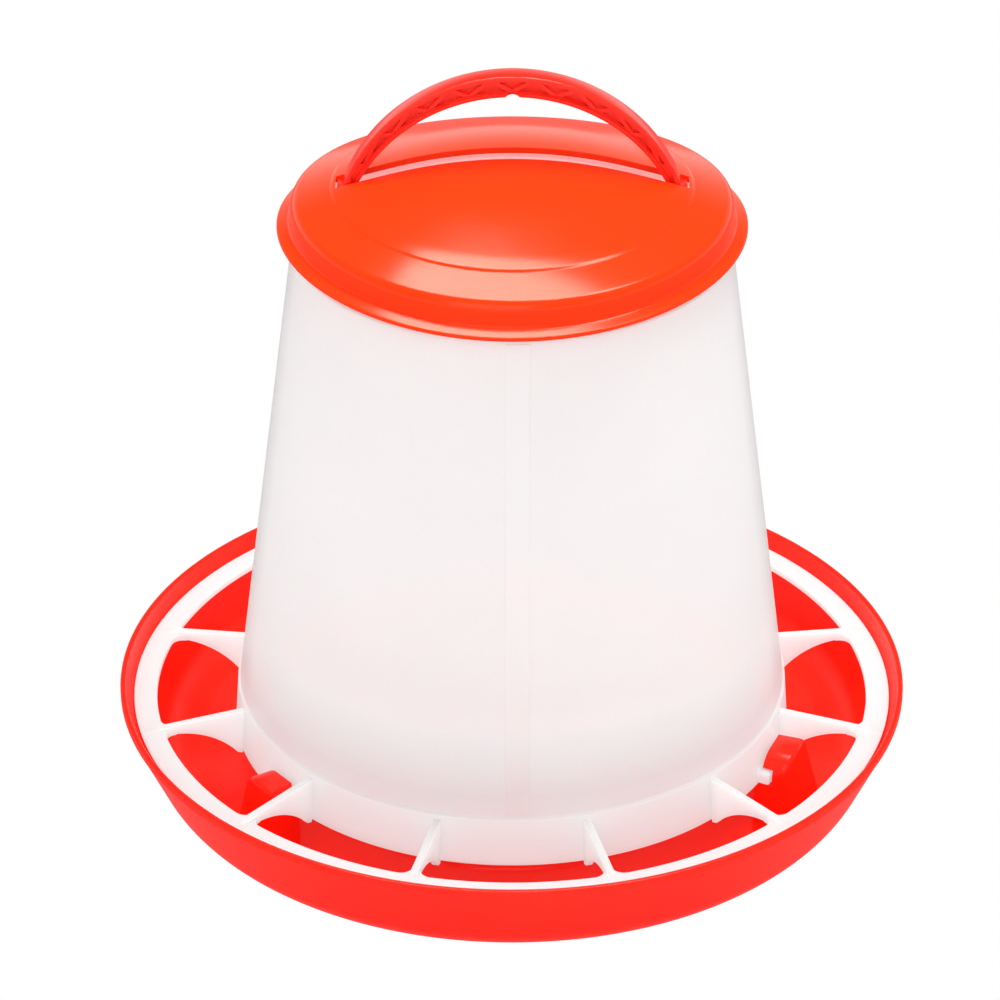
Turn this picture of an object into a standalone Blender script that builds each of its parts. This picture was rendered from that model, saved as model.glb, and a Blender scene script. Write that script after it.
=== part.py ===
# Gravity poultry feeder: a feed tray, a hopper moulded in one with its feed guard, a lid and a carrying handle.
# Metres, +Z up. The origin is the centre of the tray's foot and the front faces -Y.
# Azimuths run from the front towards +X. Section outlines are lists of (radius, height).
import math

import bmesh
import bpy
from mathutils import Matrix, Vector

# Shared values
SEAT_GAP = 0.0003  # left between two pieces that touch
ROUND_STEPS = 60  # facets round each turned piece
ARC_STEPS = 3  # facets along a small corner's arc
WIDE_ARC_STEPS = 5  # and along a wide one
WIDE_ROUNDING = 0.010  # a corner rounded by more than this is wide

# Feed tray
TRAY_RADIUS = 0.140  # outside of the rim
TRAY_HEIGHT = 0.036
TRAY_WALL = 0.0020
TRAY_LIP_HEIGHT = 0.0030  # the upright lip above the sloping wall
TRAY_LIP_STEP = 0.0005  # how far the lip stands outside the wall
TRAY_WALL_LEAN = 0.45  # outward run of the wall for each unit of height
TRAY_CORNER = 0.020  # outer radius between wall and foot
TRAY_CONE_RADIUS = 0.078  # foot of the feed cone in the middle of the tray
TRAY_CONE_HEIGHT = 0.042
TRAY_CONE_TOP = 0.012  # radius of its blunt top
TRAY_CONE_ROUNDING = 0.006

# Posts on the tray that hold the hopper by its lugs
POST_COUNT = 3
POST_FIRST = 61.2  # azimuth of the first nose's tip, degrees
POST_LENGTH = 0.0160  # from the nose's tip to the post's back end, along the arc
POST_TOP = 0.0290
POST_THICKNESS = 0.0093  # at the top
POST_LEAN = 0.29  # outward run of the outer face for each unit of height, downwards
POST_EDGE = 0.0020  # rounding between the top and the outer face
POST_NOSE_ROUNDING = 0.0075  # the top comes down to the nose's tip in this arc
POST_NOSE_TAPER = 0.0045  # how much thinner the nose is at its tip
POST_CLEARANCE = 0.0007  # to the hopper's skirt
POST_SEAT_HEIGHT = 0.0179  # ledge that carries the skirt's edge
POST_SEAT_OVERLAP = 0.0004  # the ledge reaches this far inside the skirt's edge
POST_POCKET_TOP = 0.0242  # underside of the nose
POST_POCKET_LENGTH = 0.0042  # behind the nose's tip
POST_POCKET_DEPTH = 0.0039  # from the skirt's side, with a closed wall beyond it
POST_WALL = 0.0022  # wall left round the hollows under each post
NOSE_STEPS = 4

# Hopper: a cone with a neck above and a skirt below, and a funnel lip inside
HOPPER_WALL = 0.0018
HOPPER_HEIGHT = 0.1878  # skirt edge to the shoulder under the neck
SKIRT_RADIUS = 0.0992
BAND_RISE = 0.0176  # skirt edge to the step at the foot of the cone
BAND_SETBACK = 0.0021  # the band above that step stands inside the skirt's edge
BAND_STEP = 0.0008
SHOULDER_WIDTH = 0.00355  # from the neck out to the cone's top
SHOULDER_WALL = 0.0011
SHOULDER_ROUNDING = 0.0012
NECK_RADIUS = 0.07105
NECK_HEIGHT = 0.0117
NECK_ROUNDING = 0.0017  # outside of the neck's rim
LIP_SETBACK = 0.0116  # the funnel lip's end stands inside the skirt's edge
LIP_WALL = 0.0016
LIP_END_RISE = 0.0153
LIP_KINK_RISE = 0.0248
LIP_KINK_STEP = 0.0004  # how far the lip opens above its end, up to the kink
LIP_ROOT_RISE = 0.0470
SEAM_WIDTH = 0.0080  # raised strip down the front and the back
SEAM_HEIGHT = 0.0005
SEAM_OFFSET = 0.0016  # the strip stands this far to the +X side of the middle

# Feed guard, moulded in one with the hopper
RING_RISE = 0.0128  # top of the ring above the skirt's edge
RING_THICKNESS = 0.0026
RING_WIDTH = 0.0083
RING_CLEARANCE = 0.0010  # to the tray's wall
RING_FILLET = 0.0045  # in plan, where a fin meets the ring
RING_STEPS = 2  # facets from a fillet to the middle between two fins
FIN_COUNT = 12
FIN_THICKNESS = 0.0026
FIN_TOP_RISE = 0.0162  # fin's top at the skirt, above the skirt's edge
FIN_TOP_FALL = 0.0025  # how much lower the fin's top is at the ring
FIN_SINK = 0.0002  # its edges lie this far inside or outside the ring's faces
FIN_LAP = 0.0050  # how far it reaches over the ring
FIN_TOP_LAP = 0.0037
FIN_LIP_DROP = 0.0024  # how far it hangs below the funnel lip
FIN_ARC_START = 0.0031  # the curved lower edge starts this far inside the ring
FIN_ARC_DROP = 0.01115  # how far it comes down on its way to the skirt
FIN_ARC_STEPS = 7
FIN_ROOT_DROP = 0.0013  # the fin's root hangs below the skirt's edge
FIN_ROOT_WIDTH = 0.0018

# Lugs on the skirt, one under each post's nose
LUG_SETBACK = 0.0009  # from the nose's tip to the lug's middle, along the arc
LUG_WIDTH = 0.0050
LUG_HEIGHT = 0.0050
LUG_RISE = 0.0004
LUG_REACH = 0.0040
LUG_ROUNDING = 0.0012

# Lid: a shallow cap that is bent down at the front and the back
LID_WALL = 0.0021
LID_SHOULDER = 0.0052  # outer rounding between top and wall
LID_WALL_HEIGHT = 0.00485
LID_WALL_FLARE = 0.0008
LID_FLANGE = 0.0050  # width of the flange outside the wall's top
LID_FLANGE_FILLET = 0.0013
LID_BAND_WIDTH = 0.0120  # the plain band outside the dome
LID_BAND_FALL = 0.306  # its fall for each unit of radius
DOME_SLOPE = 0.26  # where the dome's edge begins to roll down
DOME_EDGE_SLOPE = 0.62  # at the end of that edge
DOME_EDGE_WIDTH = 0.0110
LID_BOW = 0.0045  # drop of the front and back of the flange
DOME_STEPS = 3
DOME_EDGE_STEPS = 2
SLOT_SIDE_CLEARANCE = 0.0006
SLOT_END_CLEARANCE = 0.0016

# Handle: an arch with a hollow section, hooked into the neck
HANDLE_WIDTH = 0.0080
HANDLE_RISE = 0.0495  # crown above the neck's rim
HANDLE_INSET = 0.00875  # the arch stands this far inside the neck's inner face
HANDLE_DEPTH = 0.0073  # at the crown
HANDLE_TAPER = 0.0049  # how much thinner the arch would be if it ended level with its centre
HANDLE_END_ANGLE = 17.2  # where the arch turns into its foot, degrees above its centre
HANDLE_INNER_END_ANGLE = 20.2
HANDLE_ARC_STEPS = 22
HANDLE_LEG = 0.0032
HANDLE_FOOT_RUN = 0.0037
HANDLE_FOOT_DEPTH = 0.0041
HANDLE_GUSSET = 0.0025  # the foot is this much deeper at its leg
HANDLE_STEP_GAP = 0.0006  # from the step that fills the slot's end to that end
HANDLE_HOOK = 0.00135  # how far the foot reaches over the neck's rim
HANDLE_HOOK_CHAMFER = 0.0005
HANDLE_FLANGE = 0.0013
HANDLE_CHANNEL = 0.0009  # depth of the channel between the flanges
RIB_DEPTH = 0.0012  # height of the zigzag ribs in that channel
RIB_WIDTH = 0.0011
RIB_CELLS = 17  # an odd number puts a rib joint on the crown's underside
RIB_END_ANGLE = 27.0
CHANNEL_END_ANGLE = 24.0
HANG_NOTCH_RADIUS = 0.0030
HANG_NOTCH_DEPTH = 0.0011
HANG_NOTCH_STEPS = 20
BARB_HEIGHT = 0.0036
BARB_FLAT = 0.0016  # upright part of the barb's edge
BARB_RISE = 0.0032  # above the shoulder
LEG_POINT = 0.0010  # chamfer at the leg's end

# Colours and roughness
TRAY_LOOK = (0.90, 0.03, 0.015), 0.30
HOPPER_LOOK = (0.93, 0.90, 0.89), 0.35
LID_LOOK = (0.92, 0.04, 0.018), 0.28
HANDLE_LOOK = (0.90, 0.035, 0.016), 0.28
SMOOTH_ANGLE = 30.0  # edges up to this are shaded smooth

# Places worked out from the values above
skirt_z = POST_SEAT_HEIGHT + SEAT_GAP
band_z = skirt_z + BAND_RISE
shoulder_z = skirt_z + HOPPER_HEIGHT
neck_z = shoulder_z + NECK_HEIGHT
neck_inner = NECK_RADIUS - HOPPER_WALL
ring_z = skirt_z + RING_RISE
band_radius = SKIRT_RADIUS - BAND_SETBACK
cone_top_radius = NECK_RADIUS + SHOULDER_WIDTH
lip_radius = SKIRT_RADIUS - LIP_SETBACK
ledge_radius = SKIRT_RADIUS - HOPPER_WALL - POST_SEAT_OVERLAP
post_inner = SKIRT_RADIUS + POST_CLEARANCE
lid_shoulder_inner = LID_SHOULDER - LID_WALL
lid_wall_radius = neck_inner + LID_SHOULDER
lid_radius = lid_wall_radius + LID_FLANGE
handle_radius = neck_inner - HANDLE_INSET
handle_inner_radius = handle_radius - HANDLE_DEPTH + HANDLE_TAPER
crown_z = neck_z + HANDLE_RISE
barb_z = shoulder_z + BARB_RISE


def lid_bow(y):
    """How far the lid is bent down at a distance y from its straight diameter."""
    return LID_BOW * (y / lid_radius) ** 2


lid_centre_z = neck_z + SEAT_GAP - lid_shoulder_inner + lid_bow(NECK_RADIUS)
lid_band_angle = math.atan(LID_BAND_FALL)
crease_r = neck_inner + LID_SHOULDER * math.sin(lid_band_angle) - LID_BAND_WIDTH
crease_z = lid_centre_z + LID_SHOULDER * math.cos(lid_band_angle) + LID_BAND_FALL * LID_BAND_WIDTH


# Outlines
def arc(centre, radius, start, end, steps):
    """Points of an arc, angles in degrees from the +radius direction."""
    points = []
    for step in range(steps + 1):
        angle = math.radians(start + (end - start) * step / steps)
        points.append((centre[0] + radius * math.cos(angle), centre[1] + radius * math.sin(angle)))
    return points


def rounded(corners):
    """A line through (radius, height, rounding) corners, with an arc at each rounded one."""
    points = []
    for index, (r, z, rounding) in enumerate(corners):
        if rounding == 0.0 or index in (0, len(corners) - 1):
            points.append((r, z))
            continue
        corner = Vector((r, z))
        before = (Vector(corners[index - 1][:2]) - corner).normalized()
        after = (Vector(corners[index + 1][:2]) - corner).normalized()
        half = before.angle(after) / 2.0
        middle = corner + (before + after).normalized() * rounding / math.sin(half)
        first = corner + before * rounding / math.tan(half) - middle
        last = corner + after * rounding / math.tan(half) - middle
        sweep = first.angle_signed(last)
        steps = WIDE_ARC_STEPS if rounding > WIDE_ROUNDING else ARC_STEPS
        for step in range(steps + 1):
            turned = Matrix.Rotation(-sweep * step / steps, 2) @ first
            points.append(tuple(middle + turned))
    return points


def offset_line(points, distance):
    """The same line moved to its right-hand side, with mitred corners."""
    moved = []
    for index, point in enumerate(points):
        normals = []
        for a, b in ((index - 1, index), (index, index + 1)):
            if a >= 0 and b < len(points):
                along = (Vector(points[b]) - Vector(points[a])).normalized()
                normals.append(Vector((along.y, -along.x)))
        mean = sum(normals, Vector((0.0, 0.0))).normalized()
        moved.append(tuple(Vector(point) + mean * distance / mean.dot(normals[0])))
    return moved


# Solids
def turn_matrix(azimuth):
    """Turns local +X, the radius, to an azimuth in degrees."""
    return Matrix.Rotation(math.radians(azimuth - 90.0), 4, "Z")


def add_revolved(solid, section, steps, closed=True, start=90.0, sweep=360.0):
    """Adds a section turned about the Z axis. An open section starts and ends on the axis."""
    verts = [solid.verts.new((r, 0.0, z)) for r, z in section]
    pairs = list(zip(verts, verts[1:]))
    if closed:
        pairs.append((verts[-1], verts[0]))
    edges = [solid.edges.new(pair) for pair in pairs]
    whole = sweep == 360.0
    caps = [] if whole else [solid.faces.new(verts)]
    bmesh.ops.rotate(solid, verts=verts, matrix=turn_matrix(start).to_3x3())
    bmesh.ops.spin(
        solid,
        geom=verts + edges + caps,
        cent=(0.0, 0.0, 0.0),
        axis=(0.0, 0.0, 1.0),
        angle=math.radians(sweep),
        steps=steps,
        use_merge=whole,
    )


def add_sections(solid, sections, whole=False):
    """Joins (azimuth in radians, outline) sections in order, back to the first one if whole."""
    rings = []
    for angle, outline in sections:
        rings.append([solid.verts.new((r * math.sin(angle), -r * math.cos(angle), z)) for r, z in outline])
    pairs = list(zip(rings, rings[1:]))
    if whole:
        pairs.append((rings[-1], rings[0]))
    else:
        solid.faces.new(rings[0])
        solid.faces.new(rings[-1])
    for here, there in pairs:
        for corner in range(len(here)):
            after = (corner + 1) % len(here)
            solid.faces.new((here[corner], here[after], there[after], there[corner]))


def extrude(solid, points, push, azimuth):
    """Extrudes a flat outline along a vector, then turns it to its azimuth."""
    face = solid.faces.new([solid.verts.new(point) for point in points])
    grown = bmesh.ops.extrude_face_region(solid, geom=[face])["geom"]
    top = [item for item in grown if isinstance(item, bmesh.types.BMVert)]
    bmesh.ops.translate(solid, verts=top, vec=push)
    bmesh.ops.rotate(solid, verts=list(face.verts) + top, matrix=turn_matrix(azimuth).to_3x3())


def add_prism(solid, outline, depth, azimuth=90.0, middle=0.0):
    """Adds an outline of (radius, height) points, extruded across the radius."""
    low = middle - depth / 2.0
    extrude(solid, [(r, low, z) for r, z in outline], (0.0, depth, 0.0), azimuth)


def add_radial_prism(solid, outline, near, far, azimuth):
    """Adds an outline of (sideways, height) points, extruded along the radius."""
    extrude(solid, [(near, side, z) for side, z in outline], (far - near, 0.0, 0.0), azimuth)


def make_object(name, solid, merge=1e-6):
    """Turns a bmesh into a scene object with its faces pointing out."""
    bmesh.ops.remove_doubles(solid, verts=solid.verts, dist=merge)
    bmesh.ops.recalc_face_normals(solid, faces=solid.faces)
    mesh = bpy.data.meshes.new(name)
    solid.to_mesh(mesh)
    solid.free()
    thing = bpy.data.objects.new(name, mesh)
    bpy.context.scene.collection.objects.link(thing)
    return thing


def make_tool(name, solid):
    """A helper solid that is only used by a Boolean."""
    tool = make_object(name, solid)
    tool.hide_render = True
    tool.display_type = "WIRE"
    return tool


def combine(thing, tool, operation):
    boolean = thing.modifiers.new(tool.name, "BOOLEAN")
    boolean.operation = operation
    boolean.solver = "EXACT"
    boolean.object = tool


def finish(thing, colour, roughness):
    """Gives a piece its plastic and smooth shading."""
    plastic = bpy.data.materials.new(thing.name)
    plastic.use_nodes = True
    shader = plastic.node_tree.nodes["Principled BSDF"]
    shader.inputs["Base Color"].default_value = (*colour, 1.0)
    shader.inputs["Roughness"].default_value = roughness
    shader.inputs["Metallic"].default_value = 0.0
    thing.data.materials.append(plastic)
    thing.data.shade_smooth()
    thing.data.set_sharp_from_angle(angle=math.radians(SMOOTH_ANGLE))


# Feed tray
def tray_outer_radius(z):
    """Outside of the sloping wall at a height."""
    wall_top = TRAY_HEIGHT - TRAY_LIP_HEIGHT
    return TRAY_RADIUS - TRAY_LIP_STEP - (wall_top - z) * TRAY_WALL_LEAN


def tray_inner_radius(z):
    """Inside of the sloping wall at a height."""
    return tray_outer_radius(z) - TRAY_WALL * math.hypot(1.0, TRAY_WALL_LEAN)


def tray_section():
    wall_top = TRAY_HEIGHT - TRAY_LIP_HEIGHT
    under = TRAY_CONE_HEIGHT - TRAY_WALL
    outside = rounded(
        [
            (TRAY_RADIUS, TRAY_HEIGHT, 0.0),
            (TRAY_RADIUS, wall_top + TRAY_LIP_STEP, 0.0),
            (tray_outer_radius(wall_top), wall_top, 0.0),
            (tray_outer_radius(0.0), 0.0, TRAY_CORNER),
            (TRAY_CONE_RADIUS, 0.0, TRAY_CONE_ROUNDING),
            (TRAY_CONE_TOP, under, TRAY_CONE_ROUNDING),
            (0.0, under, 0.0),
        ]
    )
    inside = offset_line(outside, TRAY_WALL)
    inside[-1] = (0.0, inside[-1][1])
    return list(reversed(inside)) + outside


def post_outer_radius(z):
    """Outside of a post's full thickness at a height."""
    return post_inner + POST_THICKNESS + (POST_TOP - z) * POST_LEAN


def post_azimuth(run):
    """Azimuth in radians at a distance behind the nose's tip."""
    return math.radians(POST_FIRST) + run / post_inner


def post_section(top, taper):
    """Radial section of a post with its top at a height and its outer face drawn in by the taper."""
    return rounded(
        [
            (post_inner, top, 0.0),
            (post_outer_radius(top) - taper, top, POST_EDGE),
            (post_outer_radius(TRAY_WALL) - taper, TRAY_WALL, 0.0),
            (ledge_radius, TRAY_WALL / 2.0, 0.0),
            (ledge_radius, POST_SEAT_HEIGHT, 0.0),
            (post_inner, POST_SEAT_HEIGHT, 0.0),
        ]
    )


def post_blank(solid):
    """The whole post, which comes down and narrows to its nose."""
    sections = []
    for step in range(NOSE_STEPS + 1):
        turn = math.pi / 2.0 * step / NOSE_STEPS
        run = POST_NOSE_ROUNDING * (1.0 - math.cos(turn))
        left = 1.0 - math.sin(turn)
        outline = post_section(POST_TOP - POST_NOSE_ROUNDING * left, POST_NOSE_TAPER * left)
        sections.append((post_azimuth(run), outline))
    sections.append((post_azimuth(POST_LENGTH), post_section(POST_TOP, 0.0)))
    add_sections(solid, sections)


def post_pocket(solid):
    """The pocket under the nose, open to the skirt and at the tip, that takes a lug."""
    spare = POST_WALL
    outline = [
        (-spare, POST_SEAT_HEIGHT),
        (POST_POCKET_LENGTH, POST_SEAT_HEIGHT),
        (POST_POCKET_LENGTH, POST_POCKET_TOP),
        (-spare, POST_POCKET_TOP),
    ]
    add_radial_prism(solid, outline, post_inner - spare, post_inner + POST_POCKET_DEPTH, POST_FIRST)


def post_hollows(solid):
    """Two hollows under each post, open through the tray's floor: a low one and one behind the nose."""
    low_inner = ledge_radius + POST_WALL
    high_inner = post_inner + POST_WALL
    low_top = POST_SEAT_HEIGHT - POST_WALL
    high_top = POST_TOP - POST_WALL
    foot = post_outer_radius(TRAY_WALL) - POST_WALL
    low_foot = foot - POST_NOSE_TAPER
    low = [
        (low_inner, low_top),
        (post_outer_radius(low_top) - POST_NOSE_TAPER - POST_WALL, low_top),
        (low_foot, TRAY_WALL),
        (low_foot, -TRAY_WALL),
        (low_inner, -TRAY_WALL),
    ]
    high = [
        (high_inner, high_top),
        (post_outer_radius(high_top) - POST_EDGE - POST_WALL, high_top),
        (foot, TRAY_WALL),
        (foot, -TRAY_WALL),
        (high_inner, -TRAY_WALL),
    ]
    split = POST_POCKET_LENGTH + POST_WALL
    for outline, start, end in (
        (low, POST_WALL, POST_POCKET_LENGTH),
        (high, split, POST_LENGTH - POST_WALL),
    ):
        add_sections(solid, [(post_azimuth(start), outline), (post_azimuth(end), outline)])


def copy_round(solid, count):
    """Repeats what is in a bmesh evenly round the Z axis."""
    first = list(solid.verts) + list(solid.edges) + list(solid.faces)
    for index in range(1, count):
        copy = bmesh.ops.duplicate(solid, geom=first)["geom"]
        verts = [item for item in copy if isinstance(item, bmesh.types.BMVert)]
        turn = Matrix.Rotation(math.tau * index / count, 3, "Z")
        bmesh.ops.rotate(solid, verts=verts, matrix=turn)


def build_tray():
    shell = bmesh.new()
    add_revolved(shell, tray_section(), ROUND_STEPS, closed=False)
    tray = make_object("feed_tray", shell)
    tools = []
    for name, draw in (("posts", post_blank), ("post_pockets", post_pocket), ("post_hollows", post_hollows)):
        solid = bmesh.new()
        draw(solid)
        copy_round(solid, POST_COUNT)
        tools.append(make_tool(name, solid))
    posts, pockets, hollows = tools
    combine(posts, pockets, "DIFFERENCE")
    combine(tray, posts, "UNION")
    combine(tray, hollows, "DIFFERENCE")
    finish(tray, *TRAY_LOOK)
    return tray


# Hopper with its feed guard
def cone_radius(z):
    """Outside of the hopper's cone at a height."""
    share = (z - band_z) / (shoulder_z - band_z)
    return band_radius + (cone_top_radius - band_radius) * share


def hopper_section():
    """Wall, skirt and inner funnel lip as one Y-shaped outline."""
    lip_end = skirt_z + LIP_END_RISE
    lip_kink = skirt_z + LIP_KINK_RISE
    lip_root = skirt_z + LIP_ROOT_RISE
    lip_outer = lip_radius + LIP_KINK_STEP
    crotch = cone_radius(lip_root) - HOPPER_WALL
    inside_root = lip_root + (band_z - skirt_z) / 2.0
    shoulder_in = shoulder_z - SHOULDER_WALL
    return rounded(
        [
            (neck_inner, neck_z, 0.0),
            (NECK_RADIUS, neck_z, NECK_ROUNDING),
            (NECK_RADIUS, shoulder_z, 0.0),
            (cone_top_radius, shoulder_z, SHOULDER_ROUNDING),
            (band_radius, band_z + BAND_STEP, 0.0),
            (band_radius + BAND_STEP, band_z, 0.0),
            (SKIRT_RADIUS, skirt_z, 0.0),
            (SKIRT_RADIUS - HOPPER_WALL, skirt_z, 0.0),
            (band_radius + BAND_STEP - HOPPER_WALL, band_z, 0.0),
            (crotch, lip_root, 0.0),
            (crotch - BAND_STEP, lip_root, 0.0),
            (lip_outer, lip_kink, 0.0),
            (lip_radius, lip_end, 0.0),
            (lip_radius - LIP_WALL, lip_end, 0.0),
            (lip_outer - LIP_WALL, lip_kink, 0.0),
            (cone_radius(inside_root) - HOPPER_WALL, inside_root, 0.0),
            (cone_radius(shoulder_in) - HOPPER_WALL, shoulder_in, 0.0),
            (neck_inner, shoulder_in, 0.0),
            (neck_inner, neck_z, 0.0),
        ]
    )[:-1]


def guard_plan_radius(aside):
    """Inner edge of the ring at a distance aside from a fin's middle, with the fillet."""
    inner = ring_inner()
    reach = FIN_THICKNESS / 2.0 + RING_FILLET
    if aside >= reach:
        return inner
    level = min(reach - aside, RING_FILLET)
    return inner - RING_FILLET + math.sqrt(max(RING_FILLET**2 - level**2, 0.0))


def ring_inner():
    return tray_inner_radius(ring_z) - RING_CLEARANCE - RING_WIDTH


def guard_ring(solid):
    """The ring, its inner edge swept in to each fin by a fillet."""
    under_z = ring_z - RING_THICKNESS
    inner = ring_inner()
    reach = FIN_THICKNESS / 2.0 + RING_FILLET
    turns = [math.pi / 2.0 * step / ARC_STEPS for step in range(ARC_STEPS + 1)]
    asides = [reach - RING_FILLET * math.cos(turn) for turn in turns]
    middle = math.pi / FIN_COUNT
    sections = []
    for fin in range(FIN_COUNT):
        half = [(math.asin(aside / inner), guard_plan_radius(aside)) for aside in asides]
        plain = middle - half[-1][0]
        half += [(middle - plain * (1.0 - step / RING_STEPS), inner) for step in range(1, RING_STEPS + 1)]
        left = [(-angle, radius) for angle, radius in reversed(half[:-1])]
        for angle, radius in left + half:
            sections.append((middle * (2.0 * fin + 1.0) + angle, radius))
    outlines = []
    for angle, radius in sections:
        outline = [
            (radius, ring_z),
            (tray_inner_radius(ring_z) - RING_CLEARANCE, ring_z),
            (tray_inner_radius(under_z) - RING_CLEARANCE, under_z),
            (radius, under_z),
        ]
        outlines.append((angle, outline))
    add_sections(solid, outlines, whole=True)


def guard_fins(solid):
    """Upright blades from the funnel lip through the skirt to the ring."""
    inner = ring_inner()
    top = skirt_z + FIN_TOP_RISE
    arc_top = ring_z - RING_THICKNESS + FIN_SINK
    start = inner - FIN_ARC_START
    span = start - SKIRT_RADIUS - FIN_ROOT_WIDTH
    arc_radius = (span**2 + FIN_ARC_DROP**2) / (2.0 * FIN_ARC_DROP)
    turn = math.degrees(math.acos(-span / arc_radius))
    lower = arc((start, arc_top - arc_radius), arc_radius, turn, 90.0, FIN_ARC_STEPS)
    root_z = skirt_z - FIN_ROOT_DROP
    lip_middle = lip_radius - LIP_WALL / 2.0
    lip_end = skirt_z + LIP_END_RISE
    outline = [
        (lip_middle, top),
        (band_radius, top),
        (inner, top - FIN_TOP_FALL),
        (inner + FIN_TOP_LAP, ring_z + FIN_SINK),
        (inner + FIN_LAP, ring_z - FIN_SINK),
        (inner + FIN_LAP, arc_top),
    ]
    outline += list(reversed(lower))
    outline += [
        (SKIRT_RADIUS, root_z),
        (SKIRT_RADIUS - HOPPER_WALL / 2.0, skirt_z + HOPPER_WALL / 2.0),
        (lip_middle, lip_end - FIN_LIP_DROP),
    ]
    add_prism(solid, outline, FIN_THICKNESS, azimuth=180.0 / FIN_COUNT)
    copy_round(solid, FIN_COUNT)


def lugs(solid):
    """Rounded pegs that pass under the tray posts' noses."""
    low = skirt_z + LUG_RISE
    half = LUG_WIDTH / 2.0
    corners = [
        (0.0, low + LUG_HEIGHT, 0.0),
        (half, low + LUG_HEIGHT, LUG_ROUNDING),
        (half, low, LUG_ROUNDING),
        (-half, low, LUG_ROUNDING),
        (-half, low + LUG_HEIGHT, LUG_ROUNDING),
        (0.0, low + LUG_HEIGHT, 0.0),
    ]
    outline = rounded(corners)[:-1]
    near = SKIRT_RADIUS - HOPPER_WALL
    azimuth = math.degrees(post_azimuth(LUG_SETBACK))
    add_radial_prism(solid, outline, near, SKIRT_RADIUS + LUG_REACH, azimuth)
    copy_round(solid, POST_COUNT)


def seams(solid):
    """Low raised strips down the front and back of the cone, ending on the band."""
    sunk = HOPPER_WALL / 2.0
    top = shoulder_z - SHOULDER_ROUNDING
    low = band_z + 2.0 * BAND_STEP
    outline = [
        (cone_radius(top) - sunk, top),
        (cone_radius(top) + SEAM_HEIGHT, top - SEAM_HEIGHT),
        (cone_radius(low) + SEAM_HEIGHT, low + SEAM_HEIGHT),
        (cone_radius(low) - sunk, low),
    ]
    add_prism(solid, outline, SEAM_WIDTH, azimuth=0.0, middle=SEAM_OFFSET)
    add_prism(solid, outline, SEAM_WIDTH, azimuth=180.0, middle=-SEAM_OFFSET)


def barb_holes(solid):
    """Windows in the neck that the handle's barbs snap into."""
    outline = [
        (neck_inner - HOPPER_WALL, barb_z - SEAT_GAP),
        (NECK_RADIUS + HOPPER_WALL, barb_z - SEAT_GAP),
        (NECK_RADIUS + HOPPER_WALL, barb_z + BARB_HEIGHT + SEAT_GAP),
        (neck_inner - HOPPER_WALL, barb_z + BARB_HEIGHT + SEAT_GAP),
    ]
    width = HANDLE_WIDTH + 2.0 * SEAT_GAP
    add_prism(solid, outline, width, azimuth=90.0)
    add_prism(solid, outline, width, azimuth=270.0)


def build_hopper():
    wall = bmesh.new()
    add_revolved(wall, hopper_section(), ROUND_STEPS)
    hopper = make_object("hopper", wall)
    steps = (
        ("seams", seams, "UNION"),
        ("guard_fins", guard_fins, "UNION"),
        ("guard_ring", guard_ring, "UNION"),
        ("lugs", lugs, "UNION"),
        ("barb_holes", barb_holes, "DIFFERENCE"),
    )
    for name, draw, operation in steps:
        solid = bmesh.new()
        draw(solid)
        combine(hopper, make_tool(name, solid), operation)
    finish(hopper, *HOPPER_LOOK)
    return hopper


# Lid
def dome_fall(radius):
    """How far the dome has fallen at a radius: ever steeper, and more so in its rolled edge."""
    edge_r = crease_r - DOME_EDGE_WIDTH
    if radius <= edge_r:
        return DOME_SLOPE * radius**2 / (2.0 * edge_r)
    out = radius - edge_r
    roll = (DOME_EDGE_SLOPE - DOME_SLOPE) / DOME_EDGE_WIDTH
    return DOME_SLOPE * (edge_r / 2.0 + out) + roll * out**2 / 2.0


def slot_half_length():
    return arch_point(HANDLE_END_ANGLE, outer=True)[0] + SLOT_END_CLEARANCE


def lid_section():
    arc_end = 90.0 - math.degrees(lid_band_angle)
    shoulder = arc((neck_inner, lid_centre_z), LID_SHOULDER, arc_end, 0.0, ARC_STEPS + 1)
    edge_r = crease_r - DOME_EDGE_WIDTH
    radii = [edge_r * step / DOME_STEPS for step in range(DOME_STEPS + 1)]
    radii += [edge_r + DOME_EDGE_WIDTH * (step + 1) / DOME_EDGE_STEPS for step in range(DOME_EDGE_STEPS)]
    dome = [(radius, crease_z + dome_fall(crease_r) - dome_fall(radius)) for radius in radii]
    base_r = lid_wall_radius + LID_WALL_FLARE
    base_z = lid_centre_z - LID_WALL_HEIGHT
    flange = rounded(
        [
            (lid_wall_radius, lid_centre_z, 0.0),
            (base_r, base_z, LID_FLANGE_FILLET),
            (lid_radius, base_z, 0.0),
        ]
    )
    outside = dome + shoulder + flange[1:]
    under = offset_line(outside, LID_WALL)
    under[0] = (0.0, under[0][1])
    return outside + list(reversed(under))


def slot_cut(solid):
    half = slot_half_length()
    low = lid_centre_z
    high = crown_z
    outline = [(-half, low), (half, low), (half, high), (-half, high)]
    add_prism(solid, outline, HANDLE_WIDTH + 2.0 * SLOT_SIDE_CLEARANCE)


def build_lid():
    shell = bmesh.new()
    add_revolved(shell, lid_section(), ROUND_STEPS, closed=False)
    for vert in shell.verts:
        vert.co.z -= lid_bow(vert.co.y)
    lid = make_object("lid", shell)
    solid = bmesh.new()
    slot_cut(solid)
    combine(lid, make_tool("lid_slot", solid), "DIFFERENCE")
    finish(lid, *LID_LOOK)
    return lid


# Handle
def arch_point(angle, outer, inset=0.0):
    """A point on the arch's outer or inner line, the angle taken at that line's own centre."""
    radius = handle_radius - inset if outer else handle_inner_radius + inset
    centre_z = crown_z - handle_radius if outer else crown_z - HANDLE_DEPTH - handle_inner_radius
    turn = math.radians(angle)
    return (radius * math.cos(turn), centre_z + radius * math.sin(turn))


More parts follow.
